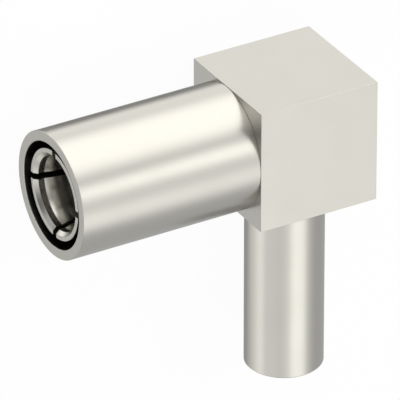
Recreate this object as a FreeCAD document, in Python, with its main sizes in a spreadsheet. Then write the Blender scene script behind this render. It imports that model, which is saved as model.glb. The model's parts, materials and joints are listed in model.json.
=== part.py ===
import FreeCAD, Part
import Sketcher
import math
import os

# A right-angle push-on coaxial plug for a thin crimped cable, lying on one side of its
# square body. X is the way it mates and Y is the way its cable leaves. The two axes cross
# in the middle of the body, half a side above the face that it lies on, and the origin is
# on that face under the crossing. All sizes are millimetres.

SIZES = {
    # Push-on end, from the ring that holds the mating lip outwards
    "snap_ring_diameter": 3.38,
    "snap_ring_height": 0.26,
    "snap_ring_land": 0.28,
    "snap_ring_ramp": 0.92,
    "guide_land_height": 0.17,
    "guide_land_length": 0.32,
    "lead_in_length": 0.18,
    "lead_in_height": 0.18,
    "finger_tip_wall": 0.315,
    "finger_tip_length": 0.55,
    "finger_swell_length": 0.50,
    "finger_swell_radius": 0.60,
    "finger_relief": 0.105,
    "finger_bore_depth": 3.64,
    "finger_slot_width": 0.33,
    "finger_slot_length": 3.94,
    "finger_slot_count": 4,
    "sleeve_gap": 0.385,
    "sleeve_wall": 0.50,
    "sleeve_inset": 0.025,
    "sleeve_reach": 9.525,
    "tip_recess": 0.16,
    # Seat of the spring contact in the body
    "line_bore": 3.00,
    "tail_wall": 0.60,
    "tail_depth": 1.275,
    "barrel_shoulder": 0.15,
    "spigot_length": 2.025,
    "press_clearance": 0.01,
    # Insulators and centre contact
    "flange_height": 0.20,
    "flange_thickness": 0.55,
    "insulator_clearance": 0.02,
    "nose_diameter": 2.90,
    "nose_reach": 0.60,
    "nose_chamfer": 0.10,
    "socket_diameter": 0.90,
    "socket_set_back": 0.10,
    "pin_bore": 0.52,
    "pin_bore_depth": 2.50,
    "socket_slot_width": 0.12,
    "socket_slot_length": 1.80,
    "solder_tail_diameter": 1.30,
    "solder_tail_overrun": 0.90,
    "solder_slot_width": 0.55,
    "solder_slot_floor": 0.45,
    "bush_wall": 0.60,
    "bush_side_hole": 1.70,
    "cap_insulator_thickness": 0.40,
    "cap_ledge": 0.50,
    "cap_thickness": 0.975,
    # Cable end
    "stem_bore": 1.60,
    "stem_wall": 0.35,
    "stem_reach": 8.025,
    "stem_end_gap": 0.05,
    "collar_height": 0.425,
    "collar_length": 0.725,
    "collar_ledge": 0.125,
    "grip_groove_count": 10,
    "grip_groove_width": 0.30,
    "grip_groove_depth": 0.08,
    "grip_margin": 0.50,
    "ferrule_clearance": 0.03,
    "ferrule_wall": 0.33,
    "ferrule_reach": 9.55,
    "ferrule_chamfer": 0.06,
    # Turned and milled edges are broken by this much
    "edge_break": 0.02,
    # Cutters run this far out of the work
    "cutter_overrun": 0.30,
}

doc = FreeCAD.newDocument("coaxial_plug")
sheet = doc.addObject("Spreadsheet::Sheet", "Sizes")
for row, (alias, number) in enumerate(SIZES.items(), start=1):
    sheet.set(f"A{row}", alias)
    sheet.set(f"B{row}", str(number))
    sheet.setAlias(f"B{row}", alias)
doc.recompute()


class Measure:
    """A length kept two ways: its number, to draw with, and its formula, to bind with."""

    def __init__(self, number, formula):
        self.number = number
        self.formula = formula

    def joined(self, other, number, sign):
        right = other.formula if isinstance(other, Measure) else str(other)
        return Measure(number, f"({self.formula} {sign} {right})")

    def __add__(self, other):
        return self.joined(other, self.number + amount(other), "+")

    def __sub__(self, other):
        return self.joined(other, self.number - amount(other), "-")

    def __mul__(self, other):
        return self.joined(other, self.number * amount(other), "*")

    def __truediv__(self, other):
        return self.joined(other, self.number / amount(other), "/")

    def __neg__(self):
        return Measure(-self.number, f"(0 - {self.formula})")


def amount(length):
    """The plain number of a measure or of a number."""
    return length.number if isinstance(length, Measure) else length


def size(alias):
    """The measure that one cell of the sheet holds."""
    return Measure(float(SIZES[alias]), f"Sizes.{alias}")


ON_AXIS = Measure(0.0, "0")
NEARLY = 1e-6

# Radii round the mating axis, each from the one inside it
ring_radius = size("snap_ring_diameter") / 2
finger_bore_radius = ring_radius + size("snap_ring_height")
guide_radius = ring_radius + size("guide_land_height")
lead_in_radius = guide_radius + size("lead_in_height")
tip_radius = finger_bore_radius + size("finger_tip_wall")
finger_radius = tip_radius - size("finger_relief")
sleeve_bore_radius = tip_radius + size("sleeve_gap")
sleeve_radius = sleeve_bore_radius + size("sleeve_wall")
half_side = sleeve_radius + size("sleeve_inset")
line_radius = size("line_bore") / 2
tail_radius = line_radius + size("tail_wall")
barrel_radius = tail_radius + size("barrel_shoulder")
cavity_radius = line_radius + size("flange_height")
cap_radius = cavity_radius + size("cap_ledge")
press = size("press_clearance") / 2
easing = size("insulator_clearance") / 2

# Places along the mating axis
sleeve_mouth = half_side + size("sleeve_reach")
spigot_end = half_side + size("spigot_length")
tip_end = sleeve_mouth - size("tip_recess")
slot_root = tip_end - size("finger_slot_length")
line_shoulder = tip_end - size("finger_bore_depth")
cavity_front = half_side - size("tail_depth")
flange_back = cavity_front - size("flange_thickness")
cap_seat = size("cap_thickness") - half_side
bush_back = cap_seat + size("cap_insulator_thickness")
nose_end = line_shoulder + size("nose_reach")
socket_end = nose_end - size("socket_set_back")

# Radii round the cable axis, and places along it
stem_bore_radius = size("stem_bore") / 2
stem_radius = stem_bore_radius + size("stem_wall")
collar_radius = stem_radius + size("collar_height")
stem_base_radius = collar_radius - size("collar_ledge")
ferrule_bore_radius = collar_radius + size("ferrule_clearance")
ferrule_radius = ferrule_bore_radius + size("ferrule_wall")
stem_inner_end = cavity_radius + size("stem_end_gap")
collar_end = half_side + size("collar_length")
stem_end = half_side + size("stem_reach")
ferrule_end = half_side + size("ferrule_reach")

overrun = size("cutter_overrun")
edge_break = size("edge_break")


def new_piece(name):
    """An empty body for one piece, raised so that the crossing of the axes is its origin."""
    body = doc.addObject("PartDesign::Body", name)
    body.Label = name
    body.setExpression("Placement.Base.z", half_side.formula)
    return body


def origin_feature(body, role):
    """One of the body's own base planes or axes."""
    return [item for item in body.Origin.OriginFeatures if item.Role == role][0]


def outline(body, name, corners, ramp=None):
    """A closed outline, each corner bound to the sheet both ways. Its sides are straight,
    but for the one that starts at the corner called the ramp, which rises as an arc."""
    sketch = body.newObject("Sketcher::SketchObject", name)
    sketch.AttachmentSupport = [(origin_feature(body, "XY_Plane"), "")]
    sketch.MapMode = "FlatFace"
    points = [FreeCAD.Vector(across.number, up.number, 0) for across, up in corners]
    for side, (here, there) in enumerate(zip(points, points[1:] + points[:1])):
        curved = corners[side] == ramp
        shape = rising_arc(here, there) if curved else Part.LineSegment(here, there)
        sketch.addGeometry(shape, False)
    for side in range(len(points)):
        before = (side - 1) % len(points)
        sketch.addConstraint(Sketcher.Constraint("Coincident", before, 2, side, 1))
    for side, (across, up) in enumerate(corners):
        bind_corner(sketch, side, "DistanceX", across, -2)
        bind_corner(sketch, side, "DistanceY", up, -1)
        if corners[side] == ramp:
            bind_point(sketch, side, 3, "DistanceX", across)
    return sketch


def rising_arc(low, high):
    """An arc that starts out level at the low point and bends up to the high one."""
    run = high.x - low.x
    rise = high.y - low.y
    radius = (run * run + rise * rise) / (2 * rise)
    centre = low + FreeCAD.Vector(0, radius, 0)
    circle = Part.Circle(centre, FreeCAD.Vector(0, 0, 1), radius)
    bottom = -math.pi / 2
    return Part.ArcOfCircle(circle, bottom, bottom + math.asin(run / radius))


def bind_corner(sketch, side, kind, measure, axis):
    """Hold the start of one side at a measure from the sketch's origin, or on its axis."""
    if measure is ON_AXIS:
        sketch.addConstraint(Sketcher.Constraint("PointOnObject", side, 1, axis))
        return
    bind_point(sketch, side, 1, kind, measure)


def bind_point(sketch, side, point, kind, measure):
    """Hold a side's start, which is its point 1, or its centre, point 3, at a measure."""
    place = Sketcher.Constraint(kind, -1, 1, side, point, measure.number)
    index = sketch.addConstraint(place)
    label = f"side_{side}_point_{point}_{kind}"
    sketch.renameConstraint(index, label)
    sketch.setExpression(f"Constraints.{label}", measure.formula)


def turn(body, sketch, axis="H_Axis"):
    """Turn a solid from its half outline, round the sketch's own level or upright axis."""
    turned = body.newObject("PartDesign::Revolution", f"{sketch.Name}_turned")
    turned.Profile = sketch
    turned.ReferenceAxis = (sketch, [axis])
    turned.Angle = 360
    sketch.Visibility = False
    doc.recompute()
    return turned


def bore(body, sketch, axis="H_Axis"):
    """Cut away what a half outline sweeps round the sketch's own axis."""
    before = body.Shape.Volume
    cut = body.newObject("PartDesign::Groove", f"{sketch.Name}_bored")
    cut.Profile = sketch
    cut.ReferenceAxis = (sketch, [axis])
    cut.Angle = 360
    sketch.Visibility = False
    doc.recompute()
    check_cut(cut, before)
    return cut


def saw(body, sketch, width):
    """Cut a slot of this width, evenly to both sides of the sketch's plane."""
    before = body.Shape.Volume
    cut = body.newObject("PartDesign::Pocket", f"{sketch.Name}_sawn")
    cut.Profile = sketch
    cut.SideType = "Symmetric"
    cut.setExpression("Length", width.formula)
    sketch.Visibility = False
    doc.recompute()
    check_cut(cut, before)
    return cut


def check_cut(cut, before):
    """A cut that points away from the work takes nothing off and shows no error."""
    if cut.Shape.isNull() or cut.Shape.Volume >= before:
        raise RuntimeError(f"{cut.Label} took nothing off")


def rectangle(low, high):
    """Corners of a rectangle between two opposite corners."""
    return [low, (high[0], low[1]), high, (low[0], high[1])]


def edges_of_circle(shape, along, radius):
    """Names of the edges that lie on one circle round the mating axis."""
    names = []
    for number, edge in enumerate(shape.Edges, start=1):
        if not isinstance(edge.Curve, Part.Circle):
            continue
        same_place = abs(edge.Curve.Center.x - along.number) < NEARLY
        if same_place and abs(edge.Curve.Radius - radius.number) < NEARLY:
            names.append(f"Edge{number}")
    return names


def make_right_angle_body():
    """The milled cube, with the spigot that carries the sleeve and its two crossing bores."""
    body = new_piece("right_angle_body")
    square = outline(body, "square", rectangle((-half_side, -half_side), (half_side, half_side)))
    square.AttachmentOffset = FreeCAD.Placement(
        FreeCAD.Vector(0, 0, -half_side.number), FreeCAD.Rotation())
    square.setExpression("AttachmentOffset.Base.z", (-half_side).formula)
    block = body.newObject("PartDesign::Pad", "block")
    block.Profile = square
    block.setExpression("Length", (half_side * 2).formula)
    square.Visibility = False
    doc.recompute()
    edges = body.newObject("PartDesign::Chamfer", "broken_edges")
    edges.Base = (block, [f"Edge{number + 1}" for number in range(len(block.Shape.Edges))])
    edges.setExpression("Size", edge_break.formula)
    doc.recompute()
    spigot_radius = sleeve_bore_radius - press
    turn(body, outline(body, "spigot", rectangle((half_side, ON_AXIS), (spigot_end, spigot_radius))))
    seat_radius = tail_radius + press
    bore(body, outline(body, "line_cavity", [
        (spigot_end, ON_AXIS), (spigot_end, seat_radius), (cavity_front, seat_radius),
        (cavity_front, cavity_radius), (cap_seat, cavity_radius), (cap_seat, cap_radius),
        (-half_side, cap_radius), (-half_side, ON_AXIS)]))
    bore(body, outline(body, "cable_hole", rectangle(
        (ON_AXIS, ON_AXIS), (stem_base_radius + press, half_side))), "V_Axis")
    return body


def make_coupling_sleeve():
    """The plain tube round the spring fingers, pressed on the spigot against the body."""
    body = new_piece("coupling_sleeve")
    turn(body, outline(body, "sleeve", [
        (half_side, sleeve_bore_radius), (sleeve_mouth - edge_break, sleeve_bore_radius),
        (sleeve_mouth, sleeve_bore_radius + edge_break), (sleeve_mouth, sleeve_radius - edge_break),
        (sleeve_mouth - edge_break, sleeve_radius), (half_side, sleeve_radius)]))
    return body


def make_spring_contact():
    """The slotted outer contact. The mating lip goes in over the lead-in, is guided by the
    land behind it and spreads the fingers on the ring's curved ramp, and the ring snaps
    shut behind it. The fingers are turned thin behind their tips so that they spring."""
    body = new_piece("spring_contact")
    guide_front = tip_end - size("lead_in_length")
    guide_back = guide_front - size("guide_land_length")
    ring_front = guide_back - size("snap_ring_ramp")
    ring_back = ring_front - size("snap_ring_land")
    ring_foot = ring_back - size("snap_ring_height")
    swell_front = tip_end - size("finger_tip_length")
    swell_back = swell_front - size("finger_swell_length")
    ramp = (ring_front, ring_radius)
    barrel = turn(body, outline(body, "barrel", [
        (cavity_front, line_radius), (line_shoulder, line_radius),
        (line_shoulder, finger_bore_radius), (ring_foot, finger_bore_radius),
        (ring_back, ring_radius), ramp, (guide_back, guide_radius),
        (guide_front, guide_radius), (tip_end, lead_in_radius), (tip_end, tip_radius),
        (swell_front, tip_radius), (swell_back, finger_radius),
        (slot_root, finger_radius), (slot_root, barrel_radius),
        (spigot_end, barrel_radius), (spigot_end, tail_radius),
        (cavity_front, tail_radius)], ramp))
    rounded = body.newObject("PartDesign::Fillet", "rounded_swell")
    swell_edges = edges_of_circle(barrel.Shape, swell_front, tip_radius)
    swell_edges += edges_of_circle(barrel.Shape, swell_back, finger_radius)
    rounded.Base = (barrel, swell_edges)
    rounded.setExpression("Radius", size("finger_swell_radius").formula)
    doc.recompute()
    slot = saw(body, outline(body, "finger_slot", rectangle(
        (slot_root, ON_AXIS), (tip_end + overrun, tip_radius + overrun))), size("finger_slot_width"))
    fingers = body.newObject("PartDesign::PolarPattern", "spring_fingers")
    fingers.Originals = [slot]
    fingers.Axis = (origin_feature(body, "X_Axis"), [""])
    fingers.Angle = 360
    fingers.setExpression("Occurrences", "Sizes.finger_slot_count")
    body.Tip = fingers
    return body


def make_front_insulator():
    """The white plastic core of the mating end. Its flange is held behind the contact."""
    body = new_piece("front_insulator")
    chamfer = size("nose_chamfer")
    nose_radius = size("nose_diameter") / 2
    hole_radius = size("socket_diameter") / 2 + easing
    turn(body, outline(body, "core", [
        (flange_back, hole_radius), (nose_end, hole_radius), (nose_end, nose_radius - chamfer),
        (nose_end - chamfer, nose_radius), (line_shoulder, nose_radius),
        (line_shoulder, line_radius - easing), (cavity_front, line_radius - easing),
        (cavity_front, cavity_radius - easing), (flange_back, cavity_radius - easing)]))
    return body


def make_centre_contact():
    """The gold socket for the mating pin. Its thick tail has a slot for the cable's wire."""
    body = new_piece("centre_contact")
    socket_radius = size("socket_diameter") / 2
    tail_end = -size("solder_tail_overrun")
    solder_radius = size("solder_tail_diameter") / 2
    pin_radius = size("pin_bore") / 2
    pin_floor = socket_end - size("pin_bore_depth")
    turn(body, outline(body, "contact", [
        (tail_end, ON_AXIS), (pin_floor, ON_AXIS), (pin_floor, pin_radius),
        (socket_end, pin_radius), (socket_end, socket_radius), (flange_back, socket_radius),
        (flange_back, solder_radius), (tail_end, solder_radius)]))
    split_root = socket_end - size("socket_slot_length")
    saw(body, outline(body, "socket_split", rectangle(
        (split_root, -(socket_radius + overrun)),
        (socket_end + overrun, socket_radius + overrun))), size("socket_slot_width"))
    saw(body, outline(body, "solder_slot", rectangle(
        (tail_end - overrun, -(solder_radius + overrun)),
        (size("solder_slot_floor"), solder_radius + overrun))), size("solder_slot_width"))
    return body


def make_rear_insulator():
    """The white bush that lines the cavity, with a hole in its side for the cable's core."""
    body = new_piece("rear_insulator")
    outside = cavity_radius - easing
    inside = cavity_radius - size("bush_wall")
    turn(body, outline(body, "bush", rectangle((bush_back, inside), (flange_back, outside))))
    bore(body, outline(body, "side_hole", rectangle(
        (ON_AXIS, ON_AXIS), (size("bush_side_hole") / 2, outside + overrun))), "V_Axis")
    return body


def make_cap_insulator():
    """The white disc between the soldered joint and the cap."""
    body = new_piece("cap_insulator")
    turn(body, outline(body, "disc", rectangle(
        (cap_seat, ON_AXIS), (bush_back, cavity_radius - easing))))
    return body


def make_access_cap():
    """The disc pressed into the back of the body, flush with it, once the wire is soldered."""
    body = new_piece("access_cap")
    rim = cap_radius - press
    turn(body, outline(body, "cap", [
        (cap_seat, ON_AXIS), (cap_seat, rim), (edge_break - half_side, rim),
        (-half_side, rim - edge_break), (-half_side, ON_AXIS)]))
    return body


def make_crimp_stem():
    """The tube that goes under the cable's braid, pressed into the body up to its collar."""
    body = new_piece("crimp_stem")
    turn(body, outline(body, "stem", [
        (stem_bore_radius, stem_inner_end), (stem_base_radius, stem_inner_end),
        (stem_base_radius, half_side), (collar_radius, half_side),
        (collar_radius, collar_end), (stem_radius, collar_end),
        (stem_radius, stem_end - edge_break), (stem_radius - edge_break, stem_end),
        (stem_bore_radius, stem_end)]), "V_Axis")
    depth = size("grip_groove_depth")
    width = size("grip_groove_width")
    first = collar_end + size("grip_margin")
    last = stem_end - size("grip_margin")
    groove = bore(body, outline(body, "grip", [
        (stem_radius - depth, first), (stem_radius + depth, first - width),
        (stem_radius + depth, first + width)]), "V_Axis")
    grooves = body.newObject("PartDesign::LinearPattern", "grip_grooves")
    grooves.Originals = [groove]
    grooves.Direction = (origin_feature(body, "Y_Axis"), [""])
    grooves.setExpression("Length", (last - first).formula)
    grooves.setExpression("Occurrences", "Sizes.grip_groove_count")
    body.Tip = grooves
    return body


def make_crimp_ferrule():
    """The loose tube that is crimped over the braid, standing against the body."""
    body = new_piece("crimp_ferrule")
    chamfer = size("ferrule_chamfer")
    turn(body, outline(body, "ferrule", [
        (ferrule_bore_radius, half_side), (ferrule_radius, half_side),
        (ferrule_radius, ferrule_end - chamfer), (ferrule_radius - chamfer, ferrule_end),
        (ferrule_bore_radius + chamfer, ferrule_end), (ferrule_bore_radius, ferrule_end - chamfer)]),
        "V_Axis")
    return body


pieces = [
    make_right_angle_body(),
    make_coupling_sleeve(),
    make_spring_contact(),
    make_front_insulator(),
    make_centre_contact(),
    make_rear_insulator(),
    make_cap_insulator(),
    make_access_cap(),
    make_crimp_stem(),
    make_crimp_ferrule(),
]
doc.recompute()

for item in doc.Objects:
    if "Invalid" in item.State or "Error" in item.State:
        raise RuntimeError(f"{item.Label} did not build")
for piece in pieces:
    if piece.Shape.isNull() or not piece.Shape.isValid() or len(piece.Shape.Solids) != 1:
        raise RuntimeError(f"{piece.Label} is not one sound solid")

os.makedirs("parts", exist_ok=True)
for piece in pieces:
    piece.Shape.exportStep(f"parts/{piece.Label}.step")
    box = piece.Shape.optimalBoundingBox()
    print(f"{piece.Label}: {piece.Shape.Volume:.3f} cubic mm, "
          f"x {box.XMin:.3f} to {box.XMax:.3f}, y {box.YMin:.3f} to {box.YMax:.3f}, "
          f"z {box.ZMin:.3f} to {box.ZMax:.3f}")
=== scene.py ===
import json
import math
import bmesh
import bpy
from mathutils import Matrix, Vector


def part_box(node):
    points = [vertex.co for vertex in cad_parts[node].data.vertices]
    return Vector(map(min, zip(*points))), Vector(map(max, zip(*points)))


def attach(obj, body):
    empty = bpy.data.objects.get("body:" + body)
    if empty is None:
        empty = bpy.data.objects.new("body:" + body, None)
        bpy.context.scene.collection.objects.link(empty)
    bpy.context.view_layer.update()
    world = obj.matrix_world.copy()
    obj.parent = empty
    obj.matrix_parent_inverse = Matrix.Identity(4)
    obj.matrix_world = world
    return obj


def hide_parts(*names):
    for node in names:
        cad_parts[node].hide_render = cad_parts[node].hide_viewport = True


# A right-angle push-on coaxial plug for thin cable, lying on one side of its square body.
# X is the way it mates, Y the way its cable leaves, and both axes run at half the body's height.
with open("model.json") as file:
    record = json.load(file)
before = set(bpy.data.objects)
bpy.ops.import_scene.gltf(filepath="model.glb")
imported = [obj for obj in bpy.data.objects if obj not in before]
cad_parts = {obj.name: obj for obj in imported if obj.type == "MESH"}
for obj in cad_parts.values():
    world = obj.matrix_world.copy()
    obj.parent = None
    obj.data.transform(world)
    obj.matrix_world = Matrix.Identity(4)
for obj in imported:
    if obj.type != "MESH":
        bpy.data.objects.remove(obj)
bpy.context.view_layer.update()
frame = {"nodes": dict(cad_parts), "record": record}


# Square body
# A cube milled from brass bar, bored through from front to back and once from the cable's side,
# with a turned spigot in front for the sleeve. Its edges are only just broken, and all of it is
# nickel plated.
MM = 0.001
body_low, body_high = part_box("right_angle_body")
body_side = body_high.z - body_low.z
axis_height = body_side / 2
front_face = body_side / 2
rear_face = -body_side / 2
spigot_end = body_high.x
mount_sizes = {mount["name"]: mount["dims"] for mount in frame["record"]["mounts"]}

EDGE_BREAK = 0.02 * MM
CUBE_BREAK = 0.01 * MM
EDGE_HOLD = 0.006 * MM
PRESS_GAP = 0.005 * MM
SPIGOT_RADIUS = 2.65 * MM
TAIL_RADIUS = 2.10 * MM
CAVITY_RADIUS = 1.70 * MM
CAVITY_FRONT = 1.90 * MM
CAP_RADIUS = 2.20 * MM
CAP_THICKNESS = 0.975 * MM
STEM_BASE_RADIUS = 1.45 * MM
CUTTER_OVERRUN = 0.5 * MM
ROUND_STEPS = 256
SMOOTH_BELOW = math.radians(35)
cap_seat = rear_face + CAP_THICKNESS


def eased(corners, ease=EDGE_BREAK, arc_steps=3):
    """The outline with each corner rounded by a short arc, apart from those on the axis.

    A corner may bring its own easing as a third number. Just before and after its arc stands
    one more point, which keeps the flats beside it flat in the shading."""
    outline = []
    befores = corners[-1:] + corners[:-1]
    afters = corners[1:] + corners[:1]
    for before, corner, after in zip(befores, corners, afters):
        here = Vector(corner[:2])
        radius = corner[2] if len(corner) > 2 else ease
        if here.y == 0 or radius == 0:
            outline.append(tuple(here))
            continue
        back = (Vector(before[:2]) - here).normalized()
        on = (Vector(after[:2]) - here).normalized()
        half = back.angle(on) / 2
        centre = here + (back + on).normalized() * radius / math.sin(half)
        reach = radius / math.tan(half)
        spoke = here + back * reach - centre
        bend = math.copysign(math.pi - 2 * half, back.y * on.x - back.x * on.y)
        outline.append(tuple(here + back * (reach + EDGE_HOLD)))
        for step in range(arc_steps + 1):
            outline.append(tuple(centre + Matrix.Rotation(bend * step / arc_steps, 2) @ spoke))
        outline.append(tuple(here + on * (reach + EDGE_HOLD)))
    return outline


def turned(outline, steps=ROUND_STEPS):
    """A bmesh turned round the X axis from a closed outline of (along, radius) points."""
    work = bmesh.new()
    rings = []
    for along, radius in outline:
        angles = [2 * math.pi * step / steps for step in range(steps if radius > 0 else 1)]
        rings.append([work.verts.new((along, radius * math.cos(angle), radius * math.sin(angle)))
                      for angle in angles])
    for here, there in zip(rings, rings[1:] + rings[:1]):
        for step in range(steps):
            after = (step + 1) % steps
            loop = [here[step % len(here)], here[after % len(here)],
                    there[after % len(there)], there[step % len(there)]]
            corners = list(dict.fromkeys(loop))
            if len(corners) > 2:
                work.faces.new(corners)
    bmesh.ops.recalc_face_normals(work, faces=work.faces)
    return work


ON_MATING_AXIS = Matrix.Translation((0, 0, axis_height))
ON_CABLE_AXIS = ON_MATING_AXIS @ Matrix.Rotation(math.pi / 2, 4, "Z")


def made_of(work, name, place=ON_MATING_AXIS):
    """An object at the origin with the bmesh's work in its mesh, put on its axis."""
    work.transform(place)
    mesh = bpy.data.meshes.new(name)
    work.to_mesh(mesh)
    work.free()
    made = bpy.data.objects.new(name, mesh)
    bpy.context.scene.collection.objects.link(made)
    return made


def settled(piece):
    """The piece with its modifiers made real, smooth along its curves and crisp at its edges."""
    bpy.context.view_layer.update()
    shaped = piece.evaluated_get(bpy.context.evaluated_depsgraph_get())
    mesh = bpy.data.meshes.new_from_object(shaped)
    rough = piece.data
    piece.modifiers.clear()
    piece.data = mesh
    bpy.data.meshes.remove(rough)
    mesh.name = piece.name
    mesh.shade_smooth()
    mesh.set_sharp_from_angle(angle=SMOOTH_BELOW)
    return piece


def cut_or_join(piece, tool, operation):
    """Queue one boolean of another piece on this one."""
    step = piece.modifiers.new(tool.name, "BOOLEAN")
    step.object = tool
    step.operation = operation
    step.solver = "EXACT"
    return tool


class Value:
    """A number that varies over a surface. Arithmetic on it adds Math nodes to its recipe."""

    def __init__(self, recipe, socket):
        self.recipe = recipe
        self.socket = socket

    def math(self, operation, *others):
        return self.recipe.node("ShaderNodeMath", {"operation": operation},
                                dict(enumerate((self, *others))))

    def __add__(self, other):
        return self.math("ADD", other)

    __radd__ = __add__

    def __sub__(self, other):
        return self.math("SUBTRACT", other)

    def __mul__(self, other):
        return self.math("MULTIPLY", other)


class Recipe:
    """The shader nodes of one finish, or of the light round the part."""

    def __init__(self, tree):
        self.tree = tree
        self.tree.nodes.clear()

    def node(self, kind, settings, sockets, *outputs):
        """Add a node, its settings first, then the values or links of its sockets.

        It gives back the first output, or the outputs that are asked for."""
        made = self.tree.nodes.new(kind)
        for name, setting in settings.items():
            setattr(made, name, setting)
        for name, value in sockets.items():
            if isinstance(value, Value):
                self.tree.links.new(value.socket, made.inputs[name])
            else:
                made.inputs[name].default_value = value
        if not made.outputs:
            return None
        values = [Value(self, made.outputs[output]) for output in outputs or (0,)]
        return values[0] if len(values) == 1 else values


PLATE = (0.582, 0.569, 0.529, 1)
PLATE_DEEP = (0.565, 0.550, 0.505, 1)
PLATE_ROUGHNESS = 0.29
# Near black that painted shade darkens the plating towards, inside hollows.
HOLLOW_SHADE_COLOUR = (0.02, 0.02, 0.018, 1)
MARKS_SCALE = 14.0
MARKS_SLANT = 0.35
CLOUD_SCALE = 0.55
CLOUD_POLISH = 0.06
GRAIN_SCALE = 22.0
GRAIN_SHARE = 0.3
RELIEF_STRENGTH = 0.05
RELIEF_DEPTH = 0.004 * MM


def position_in_mm(recipe):
    """Where a point of the part is, in millimetres from the crossing of the two axes."""
    place = recipe.node("ShaderNodeTexCoord", {}, {}, "Object")
    centred = recipe.node("ShaderNodeVectorMath", {"operation": "SUBTRACT"},
                          {0: place, 1: (0, 0, axis_height)})
    return recipe.node("ShaderNodeVectorMath", {"operation": "SCALE"},
                       {0: centred, "Scale": 1 / MM})


def across_marks(recipe, place, axis):
    """How far across the cutter's marks a point is. They run round the axis of a turned piece,
    and straight over a milled one."""
    along, aside, up = recipe.node("ShaderNodeSeparateXYZ", {}, {0: place}, "X", "Y", "Z")
    if axis == "none":
        return along + aside * MARKS_SLANT + up
    if axis == "Y":
        along, aside = aside, along
    squares = aside * aside + up * up
    return along + squares.math("SQRT")


def painted_hollow_shade(recipe, place, tone, inner, outer, start, fading, loss):
    """The tone with shade painted in: it is darkened towards a near black inside a hollow.

    The hollow lies between two radii round the mating axis. Along X it begins at its start, from
    where the painted shade deepens over the fading length, until that share of the tone is lost.
    All its lengths are in millimetres."""
    along, aside, up = recipe.node("ShaderNodeSeparateXYZ", {}, {0: place}, "X", "Y", "Z")
    squares = aside * aside + up * up
    within = squares.math("GREATER_THAN", inner ** 2) * squares.math("LESS_THAN", outer ** 2)
    depth = recipe.node("ShaderNodeMapRange", {}, {
        "Value": along, "From Min": start, "From Max": start - fading,
        "To Min": 0.0, "To Max": loss})
    return recipe.node("ShaderNodeMix", {"data_type": "RGBA"},
                       {0: depth * within, 6: tone, 7: HOLLOW_SHADE_COLOUR}, 2)


def plated(name, axis, colour=PLATE, deep=PLATE_DEEP, roughness=PLATE_ROUGHNESS, hollows=()):
    """Smooth plating over turned or milled brass. The cutter's finest marks show through it,
    and the polish varies a little from place to place. Inside any hollows given, shade is painted
    into its tone."""
    material = bpy.data.materials.new(name)
    material.use_nodes = True
    recipe = Recipe(material.node_tree)
    place = position_in_mm(recipe)
    across = across_marks(recipe, place, axis)
    marks = recipe.node("ShaderNodeTexNoise", {"noise_dimensions": "1D"},
                        {"W": across, "Scale": MARKS_SCALE, "Detail": 3.0, "Roughness": 0.6})
    cloud = recipe.node("ShaderNodeTexNoise", {},
                        {"Vector": place, "Scale": CLOUD_SCALE, "Detail": 4.0})
    grain = recipe.node("ShaderNodeTexNoise", {},
                        {"Vector": place, "Scale": GRAIN_SCALE, "Detail": 2.0})
    tone = recipe.node("ShaderNodeMix", {"data_type": "RGBA"}, {0: cloud, 6: colour, 7: deep}, 2)
    # Painted shade: the tone is darkened inside each hollow given, where shade falls.
    for hollow in hollows:
        tone = painted_hollow_shade(recipe, place, tone, **hollow)
    polish = roughness + (cloud - 0.5) * CLOUD_POLISH
    relief = recipe.node("ShaderNodeBump", {}, {
        "Strength": RELIEF_STRENGTH, "Distance": RELIEF_DEPTH,
        "Height": marks * (1 - GRAIN_SHARE) + grain * GRAIN_SHARE})
    surface = recipe.node("ShaderNodeBsdfPrincipled", {}, {
        "Base Color": tone, "Metallic": 1.0, "Roughness": polish, "Normal": relief})
    recipe.node("ShaderNodeOutputMaterial", {}, {"Surface": surface})
    return material


cube_work = bmesh.new()
bmesh.ops.create_cube(cube_work, size=body_side)
bmesh.ops.bevel(cube_work, geom=cube_work.edges[:], offset=CUBE_BREAK, segments=3, profile=0.5,
                affect="EDGES")
flats = [face for face in cube_work.faces if face.calc_area() > (body_side / 2) ** 2]
bmesh.ops.inset_individual(cube_work, faces=flats, thickness=EDGE_HOLD)
body = made_of(cube_work, "milled_body")
spigot = made_of(turned(eased([
    (0, 0), (0, SPIGOT_RADIUS - PRESS_GAP, 0), (spigot_end, SPIGOT_RADIUS - PRESS_GAP),
    (spigot_end, 0)])), "spigot")
cavity = made_of(turned([
    (spigot_end + CUTTER_OVERRUN, 0), (spigot_end + CUTTER_OVERRUN, TAIL_RADIUS + PRESS_GAP),
    (CAVITY_FRONT, TAIL_RADIUS + PRESS_GAP), (CAVITY_FRONT, CAVITY_RADIUS),
    (cap_seat, CAVITY_RADIUS), (cap_seat, CAP_RADIUS), (rear_face - CUTTER_OVERRUN, CAP_RADIUS),
    (rear_face - CUTTER_OVERRUN, 0)]), "line_cavity")
cable_hole = made_of(turned([
    (0, 0), (0, STEM_BASE_RADIUS + PRESS_GAP),
    (front_face + CUTTER_OVERRUN, STEM_BASE_RADIUS + PRESS_GAP),
    (front_face + CUTTER_OVERRUN, 0)]), "cable_hole", ON_CABLE_AXIS)
cutters = [cut_or_join(body, spigot, "UNION"), cut_or_join(body, cavity, "DIFFERENCE"),
           cut_or_join(body, cable_hole, "DIFFERENCE")]
settled(body)
for cutter in cutters:
    bpy.data.objects.remove(cutter)
body.data.materials.append(plated("plated_milled_brass", "none"))
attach(body, "root")
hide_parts("right_angle_body")


# Spring contact
# The outer contact, turned from spring alloy and slotted from the front into four fingers. Inside
# the tips a short land guides the mating lip, a curved ramp behind it spreads the fingers, and the
# ring at its end snaps shut behind the lip. The tail is pressed into the spigot.
tip_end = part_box("spring_contact")[1].x
ring_radius = mount_sizes["snap_ring"]["r_mm"] * MM

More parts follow.
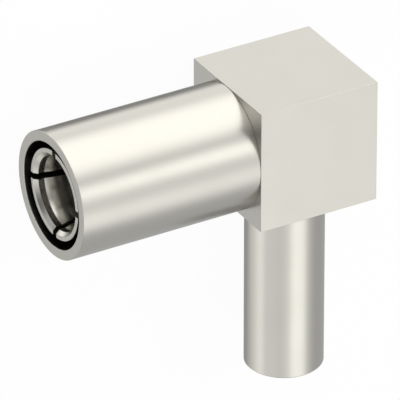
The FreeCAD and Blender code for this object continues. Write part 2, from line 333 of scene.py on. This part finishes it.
RING_LAND = mount_sizes["snap_ring"]["length_mm"] * MM
LEAD_IN_LENGTH = 0.18 * MM
LEAD_IN_RADIUS = 2.04 * MM
GUIDE_LENGTH = 0.32 * MM
GUIDE_RADIUS = 1.86 * MM
RAMP_LENGTH = 0.92 * MM
RAMP_STEPS = 10
FINGER_BORE_RADIUS = 1.95 * MM
FINGER_RADIUS = 2.16 * MM
TIP_RADIUS = 2.265 * MM
TIP_LENGTH = 0.55 * MM
SWELL_LENGTH = 0.50 * MM
SWELL_EASE = 0.60 * MM
FINGER_BORE_DEPTH = 3.64 * MM
LINE_RADIUS = 1.50 * MM
BARREL_RADIUS = 2.25 * MM
FINGER_SLOT_WIDTH = 0.33 * MM
FINGER_SLOT_LENGTH = 3.94 * MM
FINGER_COUNT = 4
SPRING_PLATE = (0.655, 0.640, 0.595, 1)
SPRING_PLATE_DEEP = (0.638, 0.621, 0.571, 1)
SPRING_ROUGHNESS = 0.24
# Painted shade on the fingers: inside them behind the ring, and between their backs and the sleeve.
FINGER_HOLLOW_SHADE = {"inner": 0.0, "outer": 1.80, "start": 11.45, "fading": 0.35, "loss": 0.75}
FINGER_BACKS_SHADE = {"inner": 2.13, "outer": 2.40, "start": 12.50, "fading": 0.10, "loss": 0.6}
WELD_REACH = 0.0005 * MM
slot_root = tip_end - FINGER_SLOT_LENGTH
line_shoulder = tip_end - FINGER_BORE_DEPTH


def slotted_share(finger, barrel, slot_width, count, columns):
    """One finger with its share of the barrel, for a contact of this many fingers.

    The finger's outline runs from the root of the slot round the tip and back to the root, and
    the barrel's goes on round the tail. The finger's sides stand half a slot from the planes
    through the axis, and the barrel's sides lie on those planes."""
    work = bmesh.new()
    share = 2 * math.pi / count
    outline = finger + barrel[1:-1]
    rows = []
    for index, (along, radius) in enumerate(outline):
        inset = math.asin(slot_width / 2 / radius) if radius > 0 else 0
        angles = [inset + (share - 2 * inset) * column / columns for column in range(columns + 1)]
        in_barrel = index == 0 or index >= len(finger) - 1
        if in_barrel:
            angles = [0.0] + angles + [share]
        row = [work.verts.new((along, radius * math.cos(angle), radius * math.sin(angle)))
               for angle in angles]
        rows.append(row if in_barrel else [None] + row + [None])
    following_rows = rows[1:] + rows[:1]
    following_points = outline[1:] + outline[:1]
    for here, there, start, end in zip(rows, following_rows, outline, following_points):
        for column in range(columns + 2):
            loop = [here[column], here[column + 1], there[column + 1], there[column]]
            if None not in loop and start[1] + end[1] > 0:
                work.faces.new(loop)
    inner_root, outer_root = rows[0], rows[len(finger) - 1]
    for column in (0, columns + 1):
        work.faces.new([inner_root[column], inner_root[column + 1],
                        outer_root[column + 1], outer_root[column]])
    for column in (1, columns + 1):
        work.faces.new([row[column] for row in rows[:len(finger)]])
    return work


def repeating_tree():
    """Geometry nodes that repeat a piece by a turn round the X axis, and weld the copies."""
    tree = bpy.data.node_groups.new("repeated_round_axis", "GeometryNodeTree")
    sockets = {label: tree.interface.new_socket(label, in_out="INPUT", socket_type=kind)
               for label, kind in (("Geometry", "NodeSocketGeometry"), ("Count", "NodeSocketInt"),
                                   ("Turn", "NodeSocketFloat"), ("Axis", "NodeSocketVector"),
                                   ("Weld", "NodeSocketFloat"), ("Finish", "NodeSocketMaterial"))}
    tree.interface.new_socket("Geometry", in_out="OUTPUT", socket_type="NodeSocketGeometry")
    given = tree.nodes.new("NodeGroupInput")
    points = tree.nodes.new("GeometryNodeMeshLine")
    points.mode = "OFFSET"
    points.inputs["Offset"].default_value = (0, 0, 0)
    index = tree.nodes.new("GeometryNodeInputIndex")
    turn = tree.nodes.new("ShaderNodeMath")
    turn.operation = "MULTIPLY"
    angles = tree.nodes.new("ShaderNodeCombineXYZ")
    copies = tree.nodes.new("GeometryNodeInstanceOnPoints")
    real = tree.nodes.new("GeometryNodeRealizeInstances")
    weld = tree.nodes.new("GeometryNodeMergeByDistance")
    finish = tree.nodes.new("GeometryNodeSetMaterial")
    out = tree.nodes.new("NodeGroupOutput")
    for source, target in (
            (given.outputs["Count"], points.inputs["Count"]),
            (given.outputs["Axis"], points.inputs["Start Location"]),
            (index.outputs[0], turn.inputs[0]),
            (given.outputs["Turn"], turn.inputs[1]),
            (turn.outputs[0], angles.inputs["X"]),
            (points.outputs[0], copies.inputs["Points"]),
            (given.outputs["Geometry"], copies.inputs["Instance"]),
            (angles.outputs[0], copies.inputs["Rotation"]),
            (copies.outputs[0], real.inputs[0]),
            (real.outputs[0], weld.inputs["Geometry"]),
            (given.outputs["Weld"], weld.inputs["Distance"]),
            (weld.outputs[0], finish.inputs["Geometry"]),
            (given.outputs["Finish"], finish.inputs["Material"]),
            (finish.outputs[0], out.inputs[0])):
        tree.links.new(source, target)
    return tree, {label: socket.identifier for label, socket in sockets.items()}


repeat_tree, repeat_sockets = repeating_tree()


def repeated(piece, finish, count):
    """The piece as many times round the mating axis, welded into one plain mesh."""
    modifier = piece.modifiers.new("repeated", "NODES")
    modifier.node_group = repeat_tree
    for label, value in (("Count", count), ("Turn", 2 * math.pi / count),
                         ("Axis", (0.0, 0.0, float(axis_height))), ("Weld", WELD_REACH),
                         ("Finish", finish)):
        modifier[repeat_sockets[label]] = value
    settled(piece)
    welded = bmesh.new()
    welded.from_mesh(piece.data)
    bmesh.ops.recalc_face_normals(welded, faces=welded.faces)
    welded.to_mesh(piece.data)
    welded.free()
    return piece


def ramp(foot, rise, length, steps):
    """Points of an arc that starts out level at its foot and climbs to the guide land."""
    bend_radius = (length ** 2 + rise ** 2) / (2 * rise)
    places = [length * step / steps for step in range(steps + 1)]
    return [(foot[0] + place, foot[1] + bend_radius - math.sqrt(bend_radius ** 2 - place ** 2), 0)
            for place in places]


guide_front = tip_end - LEAD_IN_LENGTH
guide_back = guide_front - GUIDE_LENGTH
ring_front = guide_back - RAMP_LENGTH
ring_back = ring_front - RING_LAND
ring_foot = ring_back - (FINGER_BORE_RADIUS - ring_radius)
ramp_points = ramp((ring_front, ring_radius), GUIDE_RADIUS - ring_radius, RAMP_LENGTH, RAMP_STEPS)
swell_front = tip_end - TIP_LENGTH
swell_back = swell_front - SWELL_LENGTH
finger_outline = eased([
    (slot_root, LINE_RADIUS, 0), (line_shoulder, LINE_RADIUS), (line_shoulder, FINGER_BORE_RADIUS),
    (ring_foot, FINGER_BORE_RADIUS), (ring_back, ring_radius), *ramp_points[:-1],
    (guide_back, GUIDE_RADIUS), (guide_front, GUIDE_RADIUS), (tip_end, LEAD_IN_RADIUS),
    (tip_end, TIP_RADIUS), (swell_front, TIP_RADIUS, SWELL_EASE),
    (swell_back, FINGER_RADIUS, SWELL_EASE), (slot_root, FINGER_RADIUS, 0)])
barrel_outline = [
    (slot_root, FINGER_RADIUS), (slot_root, BARREL_RADIUS), (spigot_end, BARREL_RADIUS),
    (spigot_end, TAIL_RADIUS), (CAVITY_FRONT, TAIL_RADIUS), (CAVITY_FRONT, LINE_RADIUS),
    (slot_root, LINE_RADIUS)]
spring_contact = made_of(slotted_share(
    finger_outline, barrel_outline, FINGER_SLOT_WIDTH, FINGER_COUNT, ROUND_STEPS // FINGER_COUNT),
    "slotted_spring_contact", Matrix.Identity(4))
spring_finish = plated("plated_spring_alloy", "X", SPRING_PLATE, SPRING_PLATE_DEEP,
                       SPRING_ROUGHNESS, [FINGER_HOLLOW_SHADE, FINGER_BACKS_SHADE])
repeated(spring_contact, spring_finish, FINGER_COUNT)
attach(spring_contact, "root")
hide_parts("spring_contact")


# Front insulator
# The white core of the mating end, turned from fluoroplastic rod. Its nose goes inside the mating
# tube, and its flange is trapped behind the spring contact's tail.
core_low, core_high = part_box("front_insulator")
NOSE_RADIUS = 1.45 * MM
NOSE_CHAMFER = 0.10 * MM
PLASTIC_GAP = 0.01 * MM
SOCKET_RADIUS = 0.45 * MM
WAXY_WHITE = (0.88, 0.88, 0.86, 1)
WAXY_WHITE_DEEP = (0.82, 0.82, 0.79, 1)
PLASTIC_ROUGHNESS = 0.42
RINGS_SCALE = 9.0
RINGS_POLISH = 0.12
RINGS_STRENGTH = 0.25
RINGS_DEPTH = 0.01 * MM
MILK_SCALE = 1.2
core_hole = SOCKET_RADIUS + PLASTIC_GAP


def turned_plastic(name):
    """Waxy white fluoroplastic, a little milky, with the fine rings of a turning tool."""
    material = bpy.data.materials.new(name)
    material.use_nodes = True
    recipe = Recipe(material.node_tree)
    place = position_in_mm(recipe)
    rings = recipe.node("ShaderNodeTexNoise", {"noise_dimensions": "1D"},
                        {"W": across_marks(recipe, place, "X"), "Scale": RINGS_SCALE,
                         "Detail": 2.0})
    cloud = recipe.node("ShaderNodeTexNoise", {},
                        {"Vector": place, "Scale": MILK_SCALE, "Detail": 3.0})
    tone = recipe.node("ShaderNodeMix", {"data_type": "RGBA"},
                       {0: cloud, 6: WAXY_WHITE, 7: WAXY_WHITE_DEEP}, 2)
    relief = recipe.node("ShaderNodeBump", {}, {
        "Strength": RINGS_STRENGTH, "Distance": RINGS_DEPTH, "Height": rings})
    surface = recipe.node("ShaderNodeBsdfPrincipled", {}, {
        "Base Color": tone, "Normal": relief,
        "Roughness": PLASTIC_ROUGHNESS + (rings - 0.5) * RINGS_POLISH})
    recipe.node("ShaderNodeOutputMaterial", {}, {"Surface": surface})
    return material


white_plastic = turned_plastic("turned_white_plastic")
front_insulator = made_of(turned(eased([
    (core_low.x, core_hole), (core_high.x, core_hole), (core_high.x, NOSE_RADIUS - NOSE_CHAMFER),
    (core_high.x - NOSE_CHAMFER, NOSE_RADIUS), (line_shoulder, NOSE_RADIUS, 0),
    (line_shoulder, LINE_RADIUS - PLASTIC_GAP, 0), (CAVITY_FRONT, LINE_RADIUS - PLASTIC_GAP),
    (CAVITY_FRONT, CAVITY_RADIUS - PLASTIC_GAP), (core_low.x, CAVITY_RADIUS - PLASTIC_GAP)])),
    "white_core")
settled(front_insulator)
front_insulator.data.materials.append(white_plastic)
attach(front_insulator, "root")
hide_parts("front_insulator")


# Centre contact
# The gold plated socket for the mating pin, split down its front so that its two halves grip. Its
# thick tail stands in the cavity, slotted for the cable's wire, which is soldered there.
socket_low, socket_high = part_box("centre_contact")
pin_radius = mount_sizes["pin_socket"]["r_mm"] * MM
pin_floor = socket_high.x - mount_sizes["pin_socket"]["length_mm"] * MM
SOCKET_SLOT_WIDTH = 0.12 * MM
SOCKET_SLOT_LENGTH = 1.80 * MM
SOLDER_TAIL_RADIUS = 0.65 * MM
SOLDER_SLOT_WIDTH = 0.55 * MM
SOLDER_SLOT_FLOOR = 0.45 * MM
SOCKET_HALVES = 2
SOCKET_STEPS = 48
GOLD = (0.86, 0.66, 0.32, 1)
GOLD_DEEP = (0.80, 0.59, 0.27, 1)
GOLD_ROUGHNESS = 0.18
# Painted shade down the pin socket's bore: the gold is darkened there.
PIN_HOLE_SHADE = {"inner": 0.0, "outer": 0.265, "start": 9.39, "fading": 0.50, "loss": 0.85}

split_root = socket_high.x - SOCKET_SLOT_LENGTH
socket_outline = eased([
    (split_root, pin_radius, 0), (socket_high.x, pin_radius), (socket_high.x, SOCKET_RADIUS),
    (split_root, SOCKET_RADIUS, 0)])
shank_outline = [
    (split_root, SOCKET_RADIUS), (core_low.x, SOCKET_RADIUS), (core_low.x, SOLDER_TAIL_RADIUS),
    (socket_low.x, SOLDER_TAIL_RADIUS), (socket_low.x, 0), (pin_floor, 0), (pin_floor, pin_radius),
    (split_root, pin_radius)]
centre_contact = made_of(slotted_share(
    socket_outline, shank_outline, SOCKET_SLOT_WIDTH, SOCKET_HALVES, SOCKET_STEPS // SOCKET_HALVES),
    "split_centre_contact", Matrix.Identity(4))
gold_finish = plated("gold_plate", "X", GOLD, GOLD_DEEP, GOLD_ROUGHNESS, [PIN_HOLE_SHADE])
repeated(centre_contact, gold_finish, SOCKET_HALVES)
slot_work = bmesh.new()
bmesh.ops.create_cube(slot_work, size=1)
slot_length = SOLDER_SLOT_FLOOR - socket_low.x + CUTTER_OVERRUN
slot_work.transform(Matrix.Translation((SOLDER_SLOT_FLOOR - slot_length / 2, 0, 0))
                    @ Matrix.Diagonal((slot_length, 4 * SOLDER_TAIL_RADIUS, SOLDER_SLOT_WIDTH, 1)))
solder_slot = made_of(slot_work, "solder_slot")
cut_or_join(centre_contact, solder_slot, "DIFFERENCE")
settled(centre_contact)
bpy.data.objects.remove(solder_slot)
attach(centre_contact, "root")
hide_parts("centre_contact")


# Rear insulators
# The white bush that lines the cavity and the disc behind it. Both are sealed in by the cap, so
# the frame's own solids stand, in the same white plastic.
for node in ("rear_insulator", "cap_insulator"):
    frame["nodes"][node].data.materials.clear()
    frame["nodes"][node].data.materials.append(white_plastic)


# Coupling sleeve
# A plain turned tube, nickel plated. It is pressed over the spigot until it stands against the
# body, and guards the spring fingers. It is as wide as the body, all but a hair.
sleeve_low, sleeve_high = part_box("coupling_sleeve")
sleeve_radius = (sleeve_high.y - sleeve_low.y) / 2
# Painted shade inside the sleeve's bore, behind its mouth: the plating is darkened there.
SLEEVE_BORE_SHADE = {"inner": 0.0, "outer": 2.655, "start": 12.69, "fading": 0.05, "loss": 0.7}

sleeve = made_of(turned(eased([
    (sleeve_low.x, SPIGOT_RADIUS, 0), (sleeve_high.x, SPIGOT_RADIUS),
    (sleeve_high.x, sleeve_radius), (sleeve_low.x, sleeve_radius)])), "turned_sleeve")
settled(sleeve)
sleeve.data.materials.append(plated("plated_turned_sleeve", "X", hollows=[SLEEVE_BORE_SHADE]))
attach(sleeve, "root")
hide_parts("coupling_sleeve")


# Access cap
# A turned disc pressed into the back of the body, flush with it, once the wire is soldered. Only
# its broken edge shows, as a thin ring.
cap = made_of(turned(eased([
    (cap_seat, 0), (cap_seat, CAP_RADIUS - PRESS_GAP), (rear_face, CAP_RADIUS - PRESS_GAP),
    (rear_face, 0)])), "pressed_cap")
settled(cap)
cap.data.materials.append(plated("plated_turned_cap", "X"))
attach(cap, "root")
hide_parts("access_cap")


# Crimp stem
# The tube that goes under the cable's braid, pressed into the body as far as its collar. Ten
# sharp grooves round it hold the braid once the ferrule is crimped.
stem_low, stem_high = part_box("crimp_stem")
stem_bore = mount_sizes["cable_bore"]["r_mm"] * MM
collar_radius = (stem_high.x - stem_low.x) / 2
STEM_RADIUS = 1.15 * MM
COLLAR_LENGTH = 0.725 * MM
GRIP_COUNT = 10
GRIP_WIDTH = 0.30 * MM
GRIP_DEPTH = 0.08 * MM
GRIP_MARGIN = 0.50 * MM
GRIP_EASE = 0.008 * MM

collar_end = front_face + COLLAR_LENGTH
first_grip = collar_end + GRIP_MARGIN
grip_pitch = (stem_high.y - GRIP_MARGIN - first_grip) / (GRIP_COUNT - 1)
stem_corners = [
    (stem_low.y, stem_bore), (stem_low.y, STEM_BASE_RADIUS), (front_face, STEM_BASE_RADIUS),
    (front_face, collar_radius), (collar_end, collar_radius), (collar_end, STEM_RADIUS)]
for grip in range(GRIP_COUNT):
    middle = first_grip + grip * grip_pitch
    stem_corners += [(middle - GRIP_WIDTH / 2, STEM_RADIUS), (middle, STEM_RADIUS - GRIP_DEPTH),
                     (middle + GRIP_WIDTH / 2, STEM_RADIUS)]
stem_corners += [(stem_high.y, STEM_RADIUS, EDGE_BREAK), (stem_high.y, stem_bore)]
stem = made_of(turned(eased(stem_corners, GRIP_EASE, arc_steps=1)), "grooved_stem",
               ON_CABLE_AXIS)
settled(stem)
stem.data.materials.append(plated("plated_turned_stem", "Y"))
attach(stem, "root")
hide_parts("crimp_stem")


# Crimp ferrule
# A plain thin tube, nickel plated, standing loose round the stem against the body until it is
# crimped over the braid. Its open end is lightly chamfered inside and out.
ferrule_low, ferrule_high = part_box("crimp_ferrule")
ferrule_radius = (ferrule_high.x - ferrule_low.x) / 2
FERRULE_WALL = 0.33 * MM
FERRULE_CHAMFER = 0.06 * MM
FERRULE_EASE = 0.012 * MM

ferrule_bore = ferrule_radius - FERRULE_WALL
ferrule = made_of(turned(eased([
    (ferrule_low.y, ferrule_bore, 0), (ferrule_low.y, ferrule_radius, 0),
    (ferrule_high.y - FERRULE_CHAMFER, ferrule_radius),
    (ferrule_high.y, ferrule_radius - FERRULE_CHAMFER),
    (ferrule_high.y, ferrule_bore + FERRULE_CHAMFER),
    (ferrule_high.y - FERRULE_CHAMFER, ferrule_bore)], FERRULE_EASE)),
    "loose_ferrule", ON_CABLE_AXIS)
settled(ferrule)
ferrule.data.materials.append(plated("plated_turned_ferrule", "Y"))
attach(ferrule, "root")
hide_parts("crimp_ferrule")


# Floor
# A plain white table. What is seen of it is mostly its own even white, with a share of real
# shade, so that the part's shadow stays.
FLOOR_REACH = 2.0
FLOOR_DROP = 0.001 * MM
FLOOR_SIDES = 64
FLOOR_WHITE = (0.95, 0.95, 0.95, 1)
EVEN_SHARE = 0.95

floor_work = bmesh.new()
bmesh.ops.create_circle(floor_work, cap_ends=True, radius=FLOOR_REACH, segments=FLOOR_SIDES)
floor = made_of(floor_work, "floor", Matrix.Translation((0, 0, body_low.z - FLOOR_DROP)))
floor_material = bpy.data.materials.new("white_table")
floor_material.use_nodes = True
table = Recipe(floor_material.node_tree)
shaded = table.node("ShaderNodeBsdfDiffuse", {}, {"Color": FLOOR_WHITE})
even = table.node("ShaderNodeEmission", {}, {"Color": (1, 1, 1, 1), "Strength": 1.0})
by_camera, by_gloss, by_glass = table.node(
    "ShaderNodeLightPath", {}, {}, "Is Camera Ray", "Is Glossy Ray", "Is Transmission Ray")
table_top = table.node("ShaderNodeMixShader", {}, {
    0: (by_camera + by_gloss + by_glass) * EVEN_SHARE, 1: shaded, 2: even})
table.node("ShaderNodeOutputMaterial", {}, {"Surface": table_top})
floor.data.materials.append(floor_material)
floor.visible_glossy = False


# Light
# A pale studio, lit all round from soft patches of the surroundings. Each is a disc given by its
# bearing from +X towards +Y, its height and its radius, all in degrees, and by how much light it
# adds or, for a shade, takes away.
BACKDROP_SHARE = 0.15
SURROUND_STRENGTH = 0.54
LAMPS = {
    "wide window": (-114, 0, 34, 1.34),
    "window's end": (-70, 16, 21, 1.00),
    "low window": (-143, -48, 13, 0.88),
    "overhead strip": (-155, 48, 12, 1.90),
    "ceiling": (137, 76, 38, 0.41),
    "ceiling panel": (108, 58, 18, 0.70),
    "side window": (21, -27, 23, 1.16),
    "far wall": (58, 14, 40, 0.51),
    "lit ground": (-86, -68, 21, 1.88),
}
SHADES = {
    "under the bench": (-68, -80, 32, 0.56),
    "doorway": (48, -22, 19, 0.86),
    "corner": (75, 23, 20, 0.94),
    "behind the camera": (-38, 26, 25, 0.42),
}
PATCH_SOFTNESS = 0.45
WINDOW_COLOUR = (1.0, 0.985, 0.95, 1)
SURROUND_COLOUR = (0.98, 0.99, 1.0, 1)

world = bpy.data.worlds.new("studio")
world.use_nodes = True
bpy.context.scene.world = world
studio = Recipe(world.node_tree)
toward = studio.node("ShaderNodeTexCoord", {}, {}, "Generated")


def soft_patch(bearing, height, radius, strength):
    """The light of one soft-edged patch, in the direction that is looked in."""
    bearing, height, radius = (math.radians(angle) for angle in (bearing, height, radius))
    aim = (math.cos(bearing) * math.cos(height), math.sin(bearing) * math.cos(height),
           math.sin(height))
    facing = studio.node("ShaderNodeVectorMath", {"operation": "DOT_PRODUCT"},
                         {0: toward, 1: aim}, "Value")
    return studio.node("ShaderNodeMapRange", {"interpolation_type": "SMOOTHSTEP"}, {
        "Value": facing, "From Min": math.cos(radius * (1 + PATCH_SOFTNESS)),
        "From Max": math.cos(radius * (1 - PATCH_SOFTNESS)), "To Min": 0.0, "To Max": strength})


lamp_light = sum((soft_patch(*lamp) for lamp in LAMPS.values()), 0.0)
shade = sum((soft_patch(*patch) for patch in SHADES.values()), 0.0)
level = (lamp_light + (SURROUND_STRENGTH - BACKDROP_SHARE) - shade) * (1 / (1 - BACKDROP_SHARE))
lamp_share = lamp_light.math("DIVIDE", lamp_light + SURROUND_STRENGTH)
tint = studio.node("ShaderNodeMix", {"data_type": "RGBA"},
                   {0: lamp_share, 6: SURROUND_COLOUR, 7: WINDOW_COLOUR}, 2)
lit = studio.node("ShaderNodeBackground", {}, {
    "Color": tint, "Strength": level.math("MAXIMUM", 0.0)})
backdrop = studio.node("ShaderNodeBackground", {}, {"Color": (1, 1, 1, 1), "Strength": 1.0})
by_camera, by_gloss, by_glass = studio.node(
    "ShaderNodeLightPath", {}, {}, "Is Camera Ray", "Is Glossy Ray", "Is Transmission Ray")
room = studio.node("ShaderNodeMixShader", {}, {
    0: by_camera + by_glass + by_gloss * BACKDROP_SHARE, 1: lit, 2: backdrop})
studio.node("ShaderNodeOutputWorld", {}, {"Surface": room})


# Camera
# A long lens that looks down on the part, rolled so that the ferrule hangs straight down in the
# picture.
CAMERA_LENS = 689.82
CAMERA_SENSOR = 36.0
CAMERA_PLACE = Vector((0.161927, -0.179206, 0.275344))
CAMERA_RIGHT = Vector((-0.86587, -0.00007, 0.50027))
CAMERA_UP = Vector((-0.25038, -0.86568, -0.43348))
CAMERA_BACK = Vector((0.43310, -0.50059, 0.74955))

camera_data = bpy.data.cameras.new("photo_camera")
camera_data.lens = CAMERA_LENS
camera_data.sensor_width = CAMERA_SENSOR
camera_data.clip_start = 0.01
camera_data.clip_end = 4 * FLOOR_REACH
camera = bpy.data.objects.new("photo_camera", camera_data)
bpy.context.scene.collection.objects.link(camera)
facing_part = Matrix((CAMERA_RIGHT, CAMERA_UP, CAMERA_BACK)).transposed().to_4x4()
camera.matrix_world = Matrix.Translation(CAMERA_PLACE) @ facing_part
bpy.context.scene.camera = camera
bpy.context.scene.view_settings.view_transform = "Standard"
